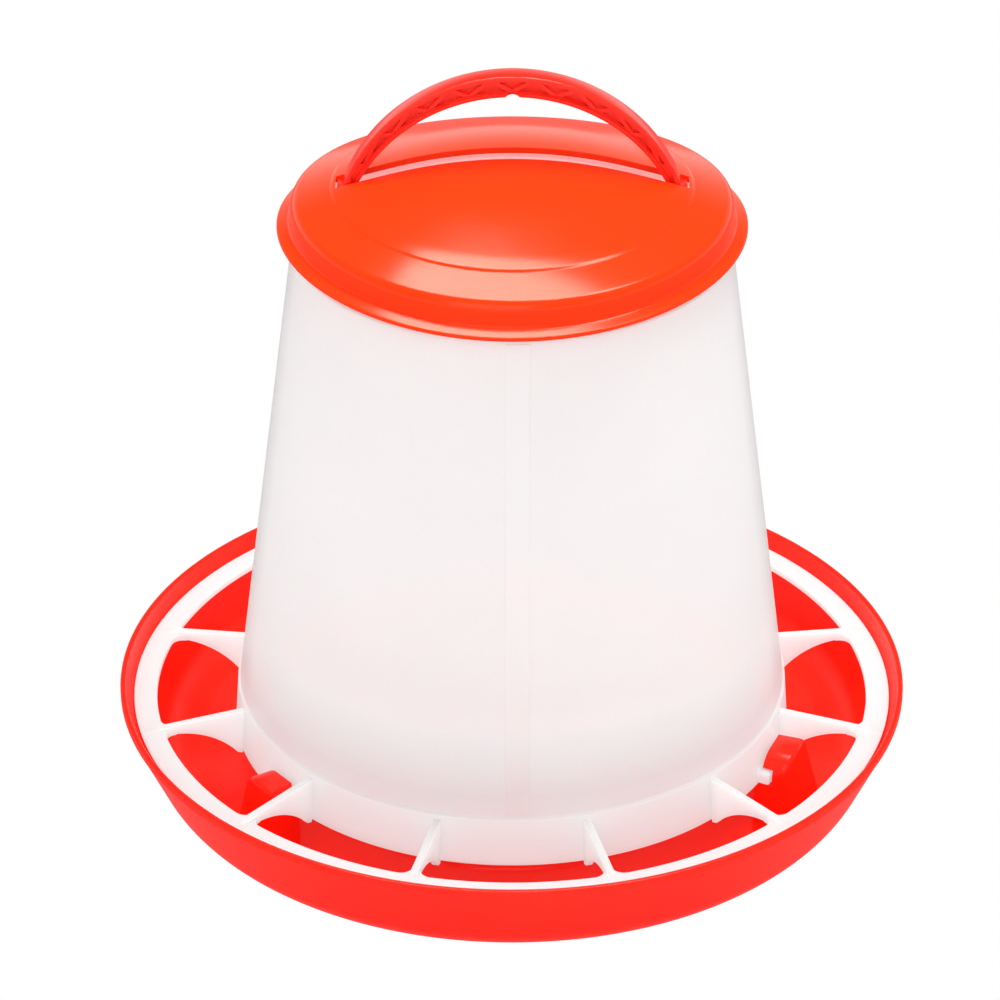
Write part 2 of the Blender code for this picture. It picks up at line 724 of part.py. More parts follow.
def arch_line(start, end, outer, inset=0.0):
    """Points of the arch's outer or inner line between two angles."""
    span = end - start
    angles = [start + span * step / HANDLE_ARC_STEPS for step in range(HANDLE_ARC_STEPS + 1)]
    return [arch_point(angle, outer, inset) for angle in angles]


def handle_foot():
    """The right foot, from the arch's outer line round the neck's rim to its inner line."""
    step_z = crease_z - SEAT_GAP
    shoulder_top = lid_centre_z + lid_shoulder_inner - 2.0 * SEAT_GAP
    rim = neck_z + SEAT_GAP
    face = neck_inner - SEAT_GAP
    reach = neck_inner + HANDLE_HOOK
    barb_r = NECK_RADIUS - SEAT_GAP
    barb_top = barb_z + BARB_HEIGHT
    leg = face - HANDLE_LEG
    knee = arch_point(HANDLE_END_ANGLE, outer=True)[0] + HANDLE_FOOT_RUN
    tip = barb_z - BARB_HEIGHT
    slot_end = slot_half_length() - HANDLE_STEP_GAP
    return [
        (slot_end, step_z),
        (slot_end, shoulder_top),
        (reach - HANDLE_HOOK_CHAMFER, shoulder_top),
        (reach, shoulder_top - HANDLE_HOOK_CHAMFER),
        (reach, rim),
        (face, rim),
        (face, barb_top),
        (barb_r, barb_top),
        (barb_r, barb_top - BARB_FLAT),
        (face, barb_z),
        (face, tip),
        (face - LEG_POINT, tip - LEG_POINT),
        (leg, tip - LEG_POINT),
        (leg, shoulder_top - HANDLE_FOOT_DEPTH - HANDLE_GUSSET),
        (knee, shoulder_top - HANDLE_FOOT_DEPTH),
    ]


def handle_outline():
    """Arch and both feet, seen from the front."""
    centre_z = crown_z - handle_radius
    step_angle = math.degrees(math.asin((crease_z - SEAT_GAP - centre_z) / handle_radius))
    outer = arch_line(90.0, step_angle, outer=True)
    inner = arch_line(HANDLE_INNER_END_ANGLE, 90.0, outer=False)
    right = outer + handle_foot() + inner
    left = [(-r, z) for r, z in reversed(right)]
    return right + left[1:-1]


def side_cut(solid, outline, depth):
    """Cuts an outline to one depth into both faces of the handle."""
    for side in (1.0, -1.0):
        add_prism(solid, outline, 2.0 * depth, middle=side * HANDLE_WIDTH / 2.0)


def channels(solid):
    """The channel between the flanges, in which the ribs lie."""
    end = 180.0 - CHANNEL_END_ANGLE
    outline = arch_line(CHANNEL_END_ANGLE, end, outer=True, inset=HANDLE_FLANGE)
    outline += arch_line(end, CHANNEL_END_ANGLE, outer=False, inset=HANDLE_FLANGE)
    side_cut(solid, outline, HANDLE_CHANNEL)


def rib_pockets(solid):
    """Three-sided pockets on both faces, which leave zigzag ribs and a web."""
    step = (180.0 - 2.0 * RIB_END_ANGLE) / (RIB_CELLS + 1)
    for cell in range(RIB_CELLS):
        first = RIB_END_ANGLE + step * cell
        base_outer = cell % 2 == 0
        corners = [
            Vector(arch_point(first, base_outer, HANDLE_FLANGE)),
            Vector(arch_point(first + 2.0 * step, base_outer, HANDLE_FLANGE)),
            Vector(arch_point(first + step, not base_outer, HANDLE_FLANGE)),
        ]
        sides = [(corners[(i + 2) % 3] - corners[(i + 1) % 3]).length for i in range(3)]
        total = sum(sides)
        centre = sum((corners[i] * sides[i] for i in range(3)), Vector((0.0, 0.0))) / total
        area = abs((corners[1] - corners[0]).cross(corners[2] - corners[0])) / 2.0
        inradius = 2.0 * area / total
        share = 1.0 - RIB_WIDTH / 2.0 / inradius
        outline = [tuple(centre + (corner - centre) * share) for corner in corners]
        side_cut(solid, outline, HANDLE_CHANNEL + RIB_DEPTH)


def hang_notch(solid):
    """The round notch under the crown that a hanging cord finds."""
    under = crown_z - HANDLE_DEPTH
    centre = (0.0, under + HANG_NOTCH_DEPTH - HANG_NOTCH_RADIUS)
    outline = arc(centre, HANG_NOTCH_RADIUS, 0.0, 360.0, HANG_NOTCH_STEPS)[:-1]
    add_prism(solid, outline, HANDLE_WIDTH * 2.0)


def build_handle():
    arch = bmesh.new()
    add_prism(arch, handle_outline(), HANDLE_WIDTH)
    handle = make_object("handle", arch)
    for name, draw in (("channels", channels), ("rib_pockets", rib_pockets), ("hang_notch", hang_notch)):
        solid = bmesh.new()
        draw(solid)
        combine(handle, make_tool(name, solid), "DIFFERENCE")
    finish(handle, *HANDLE_LOOK)
    return handle


for old in list(bpy.data.objects):
    bpy.data.objects.remove(old, do_unlink=True)

build_tray()
build_hopper()
build_lid()
build_handle()
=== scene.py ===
# The looks of the poultry feeder: red tray, milky hopper with its feed guard, red lid and handle.
# Metres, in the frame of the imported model: +Z up, the front faces -Y.
import math

import bmesh
import bpy
from mathutils import Matrix, Vector


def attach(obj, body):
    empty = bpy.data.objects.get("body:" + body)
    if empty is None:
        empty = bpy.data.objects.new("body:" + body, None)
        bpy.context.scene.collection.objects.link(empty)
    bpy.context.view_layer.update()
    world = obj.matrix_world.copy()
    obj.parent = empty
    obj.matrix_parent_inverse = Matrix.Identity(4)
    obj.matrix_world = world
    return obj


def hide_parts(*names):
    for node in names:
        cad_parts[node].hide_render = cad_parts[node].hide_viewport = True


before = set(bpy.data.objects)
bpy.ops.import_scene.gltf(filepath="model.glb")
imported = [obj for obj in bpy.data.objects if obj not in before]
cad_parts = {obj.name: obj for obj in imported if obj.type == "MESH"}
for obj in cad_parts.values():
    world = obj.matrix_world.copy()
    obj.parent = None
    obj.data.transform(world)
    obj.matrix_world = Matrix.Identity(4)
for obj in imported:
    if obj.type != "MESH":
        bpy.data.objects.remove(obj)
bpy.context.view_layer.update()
print("frame loaded:", sorted(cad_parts))

seatGap = 0.0003  # between pieces that touch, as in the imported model

# Outlines are lists of (radius, height)
def arcPoints(centre, radius, start, end, steps):
    points = []
    for step in range(steps + 1):
        angle = math.radians(start + (end - start) * step / steps)
        points.append((centre[0] + radius * math.cos(angle), centre[1] + radius * math.sin(angle)))
    return points


def roundedLine(corners):
    # corners are (radius, height, rounding)
    points = []
    for index, (r, z, rounding) in enumerate(corners):
        if rounding == 0.0 or index in (0, len(corners) - 1):
            points.append((r, z))
            continue
        corner = Vector((r, z))
        before = (Vector(corners[index - 1][:2]) - corner).normalized()
        after = (Vector(corners[index + 1][:2]) - corner).normalized()
        half = before.angle(after) / 2.0
        middle = corner + (before + after).normalized() * rounding / math.sin(half)
        first = corner + before * rounding / math.tan(half) - middle
        last = corner + after * rounding / math.tan(half) - middle
        sweep = first.angle_signed(last)
        steps = 24 if rounding > 0.01 else 8 if rounding > 0.002 else 5  # finer on the wide ones
        for step in range(steps + 1):
            points.append(tuple(middle + Matrix.Rotation(-sweep * step / steps, 2) @ first))
    return points


def offsetLine(points, distance):
    moved = []
    for index, point in enumerate(points):
        normals = []
        for a, b in ((index - 1, index), (index, index + 1)):
            if a >= 0 and b < len(points):
                along = (Vector(points[b]) - Vector(points[a])).normalized()
                normals.append(Vector((along.y, -along.x)))
        mean = sum(normals, Vector((0.0, 0.0))).normalized()
        moved.append(tuple(Vector(point) + mean * distance / mean.dot(normals[0])))
    return moved


# Mesh tools
weldDistance = 1e-6


def turnTo(azimuth):
    return Matrix.Rotation(math.radians(azimuth - 90.0), 3, "Z")


def addTurned(solid, section, steps, closed=True):
    verts = [solid.verts.new((r, 0.0, z)) for r, z in section]
    pairs = list(zip(verts, verts[1:]))
    if closed:
        pairs.append((verts[-1], verts[0]))
    edges = [solid.edges.new(pair) for pair in pairs]
    bmesh.ops.spin(
        solid,
        geom=verts + edges,
        cent=(0.0, 0.0, 0.0),
        axis=(0.0, 0.0, 1.0),
        angle=math.tau,
        steps=steps,
        use_merge=True,
    )


def addSections(solid, sections, whole=False):
    # joins (azimuth in radians, outline) sections in order
    rings = []
    for turn, outline in sections:
        places = [(r * math.sin(turn), -r * math.cos(turn), z) for r, z in outline]
        rings.append([solid.verts.new(place) for place in places])
    pairs = list(zip(rings, rings[1:]))
    if whole:
        pairs.append((rings[-1], rings[0]))
    else:
        solid.faces.new(rings[0])
        solid.faces.new(rings[-1])
    for here, there in pairs:
        for corner in range(len(here)):
            after = (corner + 1) % len(here)
            solid.faces.new((here[corner], here[after], there[after], there[corner]))


def addPrism(solid, points, push, azimuth):
    # a flat outline, pushed along one vector and turned to its azimuth
    face = solid.faces.new([solid.verts.new(point) for point in points])
    grown = bmesh.ops.extrude_face_region(solid, geom=[face])["geom"]
    top = [item for item in grown if isinstance(item, bmesh.types.BMVert)]
    bmesh.ops.translate(solid, verts=top, vec=push)
    bmesh.ops.rotate(solid, verts=list(face.verts) + top, matrix=turnTo(azimuth))


def addBlade(solid, outline, depth, azimuth=90.0, middle=0.0):
    low = middle - depth / 2.0
    addPrism(solid, [(r, low, z) for r, z in outline], (0.0, depth, 0.0), azimuth)


def addPeg(solid, outline, near, far, azimuth):
    addPrism(solid, [(near, side, z) for side, z in outline], (far - near, 0.0, 0.0), azimuth)


def copyRound(solid, count):
    first = list(solid.verts) + list(solid.edges) + list(solid.faces)
    for index in range(1, count):
        copy = bmesh.ops.duplicate(solid, geom=first)["geom"]
        verts = [item for item in copy if isinstance(item, bmesh.types.BMVert)]
        bmesh.ops.rotate(solid, verts=verts, matrix=Matrix.Rotation(math.tau * index / count, 3, "Z"))


def makePiece(name, solid):
    bmesh.ops.remove_doubles(solid, verts=solid.verts, dist=weldDistance)
    bmesh.ops.recalc_face_normals(solid, faces=solid.faces)
    mesh = bpy.data.meshes.new(name)
    solid.to_mesh(mesh)
    solid.free()
    piece = bpy.data.objects.new(name, mesh)
    bpy.context.scene.collection.objects.link(piece)
    return piece


def applyModifiers(piece):
    graph = bpy.context.evaluated_depsgraph_get()
    graph.update()
    mesh = bpy.data.meshes.new_from_object(piece.evaluated_get(graph))
    piece.modifiers.clear()
    old = piece.data
    piece.data = mesh
    bpy.data.meshes.remove(old)


def carve(piece, tool, operation):
    boolean = piece.modifiers.new("carve", "BOOLEAN")
    boolean.operation = operation
    boolean.object = tool
    applyModifiers(piece)
    bpy.data.objects.remove(tool)


def softenEdges(piece, width, angle=35.0, segments=3):
    bevel = piece.modifiers.new("softEdges", "BEVEL")
    bevel.width = width
    bevel.segments = segments
    bevel.angle_limit = math.radians(angle)
    bevel.harden_normals = False
    applyModifiers(piece)


def drawn(draw):
    solid = bmesh.new()
    draw(solid)
    return solid


# Feed tray
trayLook = {
    "radius": 0.140,
    "height": 0.036,
    "wall": 0.0020,
    "lipHeight": 0.0030,
    "lipStep": 0.0005,
    "wallLean": 0.45,
    "corner": 0.020,
    "coneRadius": 0.078,
    "coneHeight": 0.042,
    "coneTop": 0.012,
    "coneRounding": 0.006,
    "coneFootShare": 1.3,  # of coneRounding, inside at the foot
    "coneTopShare": 0.7,  # and at the top
    "coneInset": 0.0006,
    "lipRootShare": 1.1,  # of the wall, under the lip
    "rimRounding": 0.0007,
    "steps": 240,
}

postLook = {
    "count": 3,
    "first": 61.2,  # azimuth of the first nose's tip, degrees from the front towards +X
    "length": 0.0160,
    "top": 0.0290,
    "thickness": 0.0093,
    "lean": 0.29,
    "topEdge": 0.0020,
    "noseRounding": 0.0075,
    "noseTaper": 0.0045,
    "noseSteps": 12,
    "clearance": 0.0007,
    "seatHeight": 0.0179,
    "seatOverlap": 0.0004,
    "pocketTop": 0.0242,
    "pocketLength": 0.0042,
    "pocketDepth": 0.0039,
    "wall": 0.0022,
    "edge": 0.0004,  # softened edges
}


def trayOuter(z):
    wallTop = trayLook["height"] - trayLook["lipHeight"]
    return trayLook["radius"] - trayLook["lipStep"] - (wallTop - z) * trayLook["wallLean"]


def trayInner(z):
    return trayOuter(z) - trayLook["wall"] * math.hypot(1.0, trayLook["wallLean"])


def traySection():
    wallTop = trayLook["height"] - trayLook["lipHeight"]
    under = trayLook["coneHeight"] - trayLook["wall"]
    footRounding = trayLook["coneRounding"] * trayLook["coneFootShare"]
    topRounding = trayLook["coneRounding"] * trayLook["coneTopShare"]
    outside = roundedLine(
        [
            (trayLook["radius"] - trayLook["wall"] / 2.0, trayLook["height"], 0.0),
            (trayLook["radius"], trayLook["height"], trayLook["rimRounding"]),
            (trayLook["radius"], wallTop + trayLook["lipStep"], trayLook["rimRounding"]),
            (trayOuter(wallTop), wallTop, trayLook["rimRounding"] / 2.0),
            (trayOuter(0.0), 0.0, trayLook["corner"]),
            (trayLook["coneRadius"], 0.0, trayLook["coneRounding"]),
            (trayLook["coneTop"], under, trayLook["coneRounding"]),
            (0.0, under, 0.0),
        ]
    )
    inside = roundedLine(
        [
            (trayLook["radius"] - trayLook["wall"] / 2.0, trayLook["height"], 0.0),
            (trayLook["radius"] - trayLook["wall"], trayLook["height"], trayLook["rimRounding"]),
            (trayLook["radius"] - trayLook["wall"] * trayLook["lipRootShare"], wallTop, 0.0),
            (trayInner(wallTop - trayLook["lipHeight"]), wallTop - trayLook["lipHeight"], 0.0),
            (trayInner(trayLook["wall"]), trayLook["wall"], trayLook["corner"] - trayLook["wall"]),
            (trayLook["coneRadius"] + trayLook["coneInset"], trayLook["wall"], footRounding),
            (trayLook["coneTop"], trayLook["coneHeight"], topRounding),
            (0.0, trayLook["coneHeight"], 0.0),
        ]
    )
    return list(reversed(inside)) + outside[1:]


def postOuter(z):
    return postInner + postLook["thickness"] + (postLook["top"] - z) * postLook["lean"]


def postAzimuth(run):
    return math.radians(postLook["first"]) + run / postInner


def postSection(top, taper):
    seat, floor = postLook["seatHeight"], trayLook["wall"]
    return roundedLine(
        [
            (postInner, top, 0.0),
            (postOuter(top) - taper, top, postLook["topEdge"]),
            (postOuter(floor) - taper, floor, 0.0),
            (ledgeRadius, floor / 2.0, 0.0),
            (ledgeRadius, seat, 0.0),
            (postInner, seat, 0.0),
        ]
    )


def postBlank(solid):
    # the post comes down and narrows to its nose
    sections = []
    for step in range(postLook["noseSteps"] + 1):
        turn = math.pi / 2.0 * step / postLook["noseSteps"]
        run = postLook["noseRounding"] * (1.0 - math.cos(turn))
        left = 1.0 - math.sin(turn)
        top = postLook["top"] - postLook["noseRounding"] * left
        outline = postSection(top, postLook["noseTaper"] * left)
        sections.append((postAzimuth(run), outline))
    sections.append((postAzimuth(postLook["length"]), postSection(postLook["top"], 0.0)))
    addSections(solid, sections)


def postPocket(solid):
    # under the nose, open to the skirt and at the tip
    spare, deep = postLook["wall"], postLook["pocketLength"]
    seat, top = postLook["seatHeight"], postLook["pocketTop"]
    outline = [(-spare, seat), (deep, seat), (deep, top), (-spare, top)]
    addPeg(solid, outline, postInner - spare, postInner + postLook["pocketDepth"], postLook["first"])


def postHollows(solid):
    wall, floor = postLook["wall"], trayLook["wall"]
    lowTop, highTop = postLook["seatHeight"] - wall, postLook["top"] - wall
    foot = postOuter(floor) - wall
    lowFoot = foot - postLook["noseTaper"]
    lowInner, highInner = ledgeRadius + wall, postInner + wall
    low = [(lowInner, lowTop), (postOuter(lowTop) - postLook["noseTaper"] - wall, lowTop)]
    low += [(lowFoot, floor), (lowFoot, -floor), (lowInner, -floor)]
    high = [(highInner, highTop), (postOuter(highTop) - postLook["topEdge"] - wall, highTop)]
    high += [(foot, floor), (foot, -floor), (highInner, -floor)]
    split = postLook["pocketLength"]
    for outline, start, end in ((low, wall, split), (high, split + wall, postLook["length"] - wall)):
        addSections(solid, [(postAzimuth(start), outline), (postAzimuth(end), outline)])


def trayShell(solid):
    addTurned(solid, traySection(), trayLook["steps"], closed=False)


def buildTray():
    tray = makePiece("feedTray", drawn(trayShell))
    posts = makePiece("trayPosts", drawn(postBlank))
    carve(posts, makePiece("postPockets", drawn(postPocket)), "DIFFERENCE")
    softenEdges(posts, postLook["edge"])
    for index in range(postLook["count"]):
        copy = posts.copy()
        copy.data = posts.data.copy()
        bpy.context.scene.collection.objects.link(copy)
        copy.data.transform(Matrix.Rotation(math.tau * index / postLook["count"], 4, "Z"))
        carve(tray, copy, "UNION")
    bpy.data.objects.remove(posts)
    hollows = bmesh.new()
    postHollows(hollows)
    copyRound(hollows, postLook["count"])
    carve(tray, makePiece("postHollows", hollows), "DIFFERENCE")
    return tray


# Hopper
hopperLook = {
    "wall": 0.0018,
    "height": 0.1878,
    "skirtRadius": 0.0992,
    "bandRise": 0.0176,
    "bandSetback": 0.0021,
    "bandStep": 0.0008,
    "shoulderWidth": 0.00355,
    "shoulderWall": 0.0011,
    "shoulderRounding": 0.0012,
    "neckRadius": 0.07105,
    "neckHeight": 0.0117,
    "neckRounding": 0.0017,
    "lipSetback": 0.0116,
    "lipWall": 0.0016,
    "lipEndRise": 0.0153,
    "lipKinkRise": 0.0248,
    "lipKinkStep": 0.0004,
    "lipRootRise": 0.0470,
    "seamWidth": 0.0080,
    "seamHeight": 0.00025,
    "seamOffset": 0.0016,
    "seamCount": 2,
    "seamEdge": 0.0002,
    "edge": 0.0005,
    "steps": 240,
}

guardLook = {
    "ringRise": 0.0128,
    "ringThickness": 0.0026,
    "ringWidth": 0.0083,
    "ringClearance": 0.0010,
    "fillet": 0.0045,
    "filletSteps": 10,
    "plainSteps": 9,
    "finCount": 12,
    "finThickness": 0.0026,
    "finTopRise": 0.0162,
    "finTopFall": 0.0025,
    "sink": 0.0002,
    "lap": 0.0050,
    "topLap": 0.0037,
    "lipDrop": 0.0024,
    "arcStart": 0.0031,
    "arcDrop": 0.01115,
    "arcSteps": 20,
    "rootDrop": 0.0013,
    "rootWidth": 0.0018,
    "edge": 0.0004,
}

lugLook = {
    "setback": 0.0009,
    "width": 0.0050,
    "height": 0.0050,
    "rise": 0.0004,
    "reach": 0.0040,
    "rounding": 0.0012,
    "edge": 0.0007,
}

# heights and radii worked out from the settings
skirtZ = postLook["seatHeight"] + seatGap
bandZ = skirtZ + hopperLook["bandRise"]
shoulderZ = skirtZ + hopperLook["height"]
neckZ = shoulderZ + hopperLook["neckHeight"]
ringZ = skirtZ + guardLook["ringRise"]
neckInner = hopperLook["neckRadius"] - hopperLook["wall"]
bandRadius = hopperLook["skirtRadius"] - hopperLook["bandSetback"]
coneTopRadius = hopperLook["neckRadius"] + hopperLook["shoulderWidth"]
lipRadius = hopperLook["skirtRadius"] - hopperLook["lipSetback"]
ledgeRadius = hopperLook["skirtRadius"] - hopperLook["wall"] - postLook["seatOverlap"]
postInner = hopperLook["skirtRadius"] + postLook["clearance"]


def coneRadius(z):
    share = (z - bandZ) / (shoulderZ - bandZ)
    return bandRadius + (coneTopRadius - bandRadius) * share


def hopperSection():
    wall = hopperLook["wall"]
    lipEnd = skirtZ + hopperLook["lipEndRise"]
    lipKink = skirtZ + hopperLook["lipKinkRise"]
    lipRoot = skirtZ + hopperLook["lipRootRise"]
    lipOuter = lipRadius + hopperLook["lipKinkStep"]
    crotch = coneRadius(lipRoot) - wall
    insideRoot = lipRoot + hopperLook["bandRise"] / 2.0
    shoulderIn = shoulderZ - hopperLook["shoulderWall"]
    step, edge = hopperLook["bandStep"], hopperLook["edge"]
    tight, wide = step / 3.0, step * 3.0
    return roundedLine(
        [
            (neckInner, neckZ, 0.0),
            (hopperLook["neckRadius"], neckZ, hopperLook["neckRounding"]),
            (hopperLook["neckRadius"], shoulderZ, edge),
            (coneTopRadius, shoulderZ, hopperLook["shoulderRounding"]),
            (bandRadius, bandZ + step, step),
            (bandRadius + step, bandZ, edge),
            (hopperLook["skirtRadius"], skirtZ, edge),
            (hopperLook["skirtRadius"] - wall, skirtZ, edge),
            (bandRadius + step - wall, bandZ, step),
            (crotch, lipRoot, tight),
            (crotch - step, lipRoot, tight),
            (lipOuter, lipKink, step),
            (lipRadius, lipEnd, edge),
            (lipRadius - hopperLook["lipWall"], lipEnd, edge),
            (lipOuter - hopperLook["lipWall"], lipKink, step),
            (coneRadius(insideRoot) - wall, insideRoot, wide),
            (coneRadius(shoulderIn) - wall, shoulderIn, edge),
            (neckInner, shoulderIn, edge),
            (neckInner, neckZ, 0.0),
        ]
    )[:-1]


def ringInner():
    return trayInner(ringZ) - guardLook["ringClearance"] - guardLook["ringWidth"]


def guardPlanRadius(aside):
    # inner edge of the ring at a distance from a fin's middle
    reach = guardLook["finThickness"] / 2.0 + guardLook["fillet"]
    if aside >= reach:
        return ringInner()
    level = min(reach - aside, guardLook["fillet"])
    return ringInner() - guardLook["fillet"] + math.sqrt(max(guardLook["fillet"] ** 2 - level**2, 0.0))


def guardRing(solid):
    inner = ringInner()
    edge = guardLook["edge"]
    lowZ = ringZ - guardLook["ringThickness"]
    outerTop = trayInner(ringZ) - guardLook["ringClearance"]
    outerLow = trayInner(lowZ) - guardLook["ringClearance"]
    reach = guardLook["finThickness"] / 2.0 + guardLook["fillet"]
    rounds, plains = guardLook["filletSteps"], guardLook["plainSteps"]
    turns = [math.pi / 2.0 * step / rounds for step in range(rounds + 1)]
    asides = [reach - guardLook["fillet"] * math.cos(turn) for turn in turns]
    pitch = math.tau / guardLook["finCount"]
    half = [(math.asin(aside / inner), guardPlanRadius(aside)) for aside in asides]
    plain = half[-1][0]
    half += [(plain + (pitch / 2.0 - plain) * (step + 1) / plains, inner) for step in range(plains)]
    sections = []
    for fin in range(guardLook["finCount"]):
        left = [(-angle, radius) for angle, radius in reversed(half[:-1])]
        for angle, radius in left + half:
            outline = roundedLine(
                [
                    ((radius + outerTop) / 2.0, ringZ, 0.0),
                    (outerTop, ringZ, edge),
                    (outerLow, lowZ, edge),
                    (radius, lowZ, edge),
                    (radius, ringZ, edge),
                    ((radius + outerTop) / 2.0, ringZ, 0.0),
                ]
            )[:-1]
            sections.append((pitch * (fin + 0.5) + angle, outline))
    addSections(solid, sections, whole=True)


def guardFin(solid):
    inner = ringInner()
    sink, lap = guardLook["sink"], guardLook["lap"]
    top = skirtZ + guardLook["finTopRise"]
    arcTop = ringZ - guardLook["ringThickness"] + sink
    start = inner - guardLook["arcStart"]
    span = start - hopperLook["skirtRadius"] - guardLook["rootWidth"]
    arcRadius = (span**2 + guardLook["arcDrop"] ** 2) / (2.0 * guardLook["arcDrop"])
    turn = math.degrees(math.acos(-span / arcRadius))
    lower = arcPoints((start, arcTop - arcRadius), arcRadius, 90.0, turn, guardLook["arcSteps"])
    rootZ = skirtZ - guardLook["rootDrop"]
    lipMiddle = lipRadius - hopperLook["lipWall"] / 2.0
    lipEnd = skirtZ + hopperLook["lipEndRise"]
    outline = [
        (lipMiddle, top),
        (bandRadius, top),
        (inner, top - guardLook["finTopFall"]),
        (inner + guardLook["topLap"], ringZ + sink),
        (inner + lap, ringZ - sink),
        (inner + lap, arcTop),
    ]
    outline += lower
    outline += [
        (hopperLook["skirtRadius"], rootZ),
        (hopperLook["skirtRadius"] - hopperLook["wall"] / 2.0, skirtZ + hopperLook["wall"] / 2.0),
        (lipMiddle, lipEnd - guardLook["lipDrop"]),
    ]
    addBlade(solid, outline, guardLook["finThickness"], azimuth=180.0 / guardLook["finCount"])


def lugPeg(solid):
    low = skirtZ + lugLook["rise"]
    high = low + lugLook["height"]
    half = lugLook["width"] / 2.0
    rounding = lugLook["rounding"]
    corners = [(0.0, high, 0.0), (half, high, rounding), (half, low, rounding)]
    corners += [(-half, low, rounding), (-half, high, rounding), (0.0, high, 0.0)]
    near = hopperLook["skirtRadius"] - hopperLook["wall"]
    azimuth = math.degrees(postAzimuth(lugLook["setback"]))
    addPeg(solid, roundedLine(corners)[:-1], near, hopperLook["skirtRadius"] + lugLook["reach"], azimuth)


def seamStrip(solid):
    sunk = hopperLook["wall"] / 2.0
    raised = hopperLook["seamHeight"]
    top = shoulderZ - hopperLook["shoulderRounding"]
    low = bandZ + 2.0 * hopperLook["bandStep"]
    outline = [
        (coneRadius(top) - sunk, top),
        (coneRadius(top) + raised, top - raised),
        (coneRadius(low) + raised, low + raised),
        (coneRadius(low) - sunk, low),
    ]
    addBlade(solid, outline, hopperLook["seamWidth"], azimuth=0.0, middle=hopperLook["seamOffset"])


def barbHole(solid):
    wall = hopperLook["wall"]
    low, high = barbZ - seatGap, barbZ + handleLook["barbHeight"] + seatGap
    near, far = neckInner - wall, hopperLook["neckRadius"] + wall
    outline = [(near, low), (far, low), (far, high), (near, high)]
    addBlade(solid, outline, handleLook["width"] + 2.0 * seatGap, azimuth=90.0)


def hopperShell(solid):
    addTurned(solid, hopperSection(), hopperLook["steps"])


def buildHopper():
    hopper = makePiece("hopperShell", drawn(hopperShell))
    # name, shape, copies round the axis, softened edge, cut or joined
    plan = (
        ("seamStrips", seamStrip, hopperLook["seamCount"], hopperLook["seamEdge"], "UNION"),
        ("guardFins", guardFin, guardLook["finCount"], guardLook["edge"], "UNION"),
        ("guardRing", guardRing, 1, 0.0, "UNION"),
        ("lugs", lugPeg, postLook["count"], lugLook["edge"], "UNION"),
        ("barbHoles", barbHole, handleLook["barbCount"], 0.0, "DIFFERENCE"),
    )
    for name, draw, copies, edge, operation in plan:
        tool = makePiece(name, drawn(draw))
        if edge > 0.0:
            softenEdges(tool, edge)
        solid = bmesh.new()
        solid.from_mesh(tool.data)
        bpy.data.objects.remove(tool)
        copyRound(solid, copies)
        carve(hopper, makePiece(name, solid), operation)
        print("hopper:", name)
    return hopper


# Lid
lidLook = {
    "wall": 0.0021,
    "wallOut": 0.0052,  # from the neck's inside
    "shoulder": 0.0036,
    "wallHeight": 0.00485,
    "wallFlare": 0.0008,
    "flange": 0.0050,
    "flangeDepth": 0.0014,
    "flangeRise": 0.0010,  # the flange climbs towards the wall
    "flangeFillet": 0.0012,
    "bandWidth": 0.0120,
    "bandFall": 0.306,
    "domeRise": 0.0117,
    "domeFlat": 0.042,  # the slope grows up to this radius
    "domeEven": 0.0545,  # stays up to this one, then grows to the edge
    "domeEdgeSlope": 0.350,
    "domeRows": 12,  # in each of its three stretches
    "groove": 0.0006,  # a narrow steep step just inside the crease
    "grooveSlope": 0.9,
    "creaseGap": 0.0003,  # extra rows that keep the shading flat beside the crease
    "creaseOut": 0.0024,  # the crease lies this far outside the inner end of bandWidth
    "bow": 0.0045,
    "sideClearance": 0.0006,
    "endClearance": 0.0016,
    "edge": 0.0005,
    "steps": 240,
}

lidInner = lidLook["wallOut"] - lidLook["wall"]
lidWallRadius = neckInner + lidLook["wallOut"]
lidRadius = lidWallRadius + lidLook["flange"]


def lidBow(y):
    return lidLook["bow"] * (y / lidRadius) ** 2


lidCentreZ = neckZ + seatGap - lidInner + lidBow(hopperLook["neckRadius"])
bandAngle = math.atan(lidLook["bandFall"])
bandInnerR = neckInner + lidLook["wallOut"] * math.sin(bandAngle) - lidLook["bandWidth"]
bandInnerZ = lidCentreZ + lidLook["wallOut"] * math.cos(bandAngle)
bandInnerZ += lidLook["bandFall"] * lidLook["bandWidth"]


def domeSection():
    # slopes at a few radii, joined by straight changes of slope, and the close rows at the crease
    edgeR = bandInnerR + lidLook["creaseOut"]
    edgeZ = bandInnerZ - lidLook["bandFall"] * lidLook["creaseOut"]
    flat, even, rolled = lidLook["domeFlat"], lidLook["domeEven"], edgeR - lidLook["groove"]
    share = flat / 2.0 + (even - flat) + (rolled - even) / 2.0
    left = lidLook["domeRise"] - lidLook["groove"] * lidLook["grooveSlope"]
    slope = (left - lidLook["domeEdgeSlope"] * (rolled - even) / 2.0) / share
    knots = ((0.0, 0.0), (flat, slope), (even, slope), (rolled, lidLook["domeEdgeSlope"]))
    points = [(0.0, edgeZ + lidLook["domeRise"])]
    for (startR, startSlope), (endR, endSlope) in zip(knots, knots[1:]):
        low = points[-1][1]
        grow = (endSlope - startSlope) / (endR - startR)
        for step in range(1, lidLook["domeRows"] + 1):
            out = (endR - startR) * step / lidLook["domeRows"]
            points.append((startR + out, low - startSlope * out - grow * out**2 / 2.0))
    gap = lidLook["creaseGap"]
    beside = (points[-1][0] - gap, points[-1][1] + lidLook["domeEdgeSlope"] * gap)
    beyond = (edgeR + gap, edgeZ - lidLook["bandFall"] * gap)
    return points[:-1], [beside, points[-1], (edgeR, edgeZ), beyond]


def slotHalfLength():
    return archPoint(handleLook["endAngle"], True)[0] + lidLook["endClearance"]


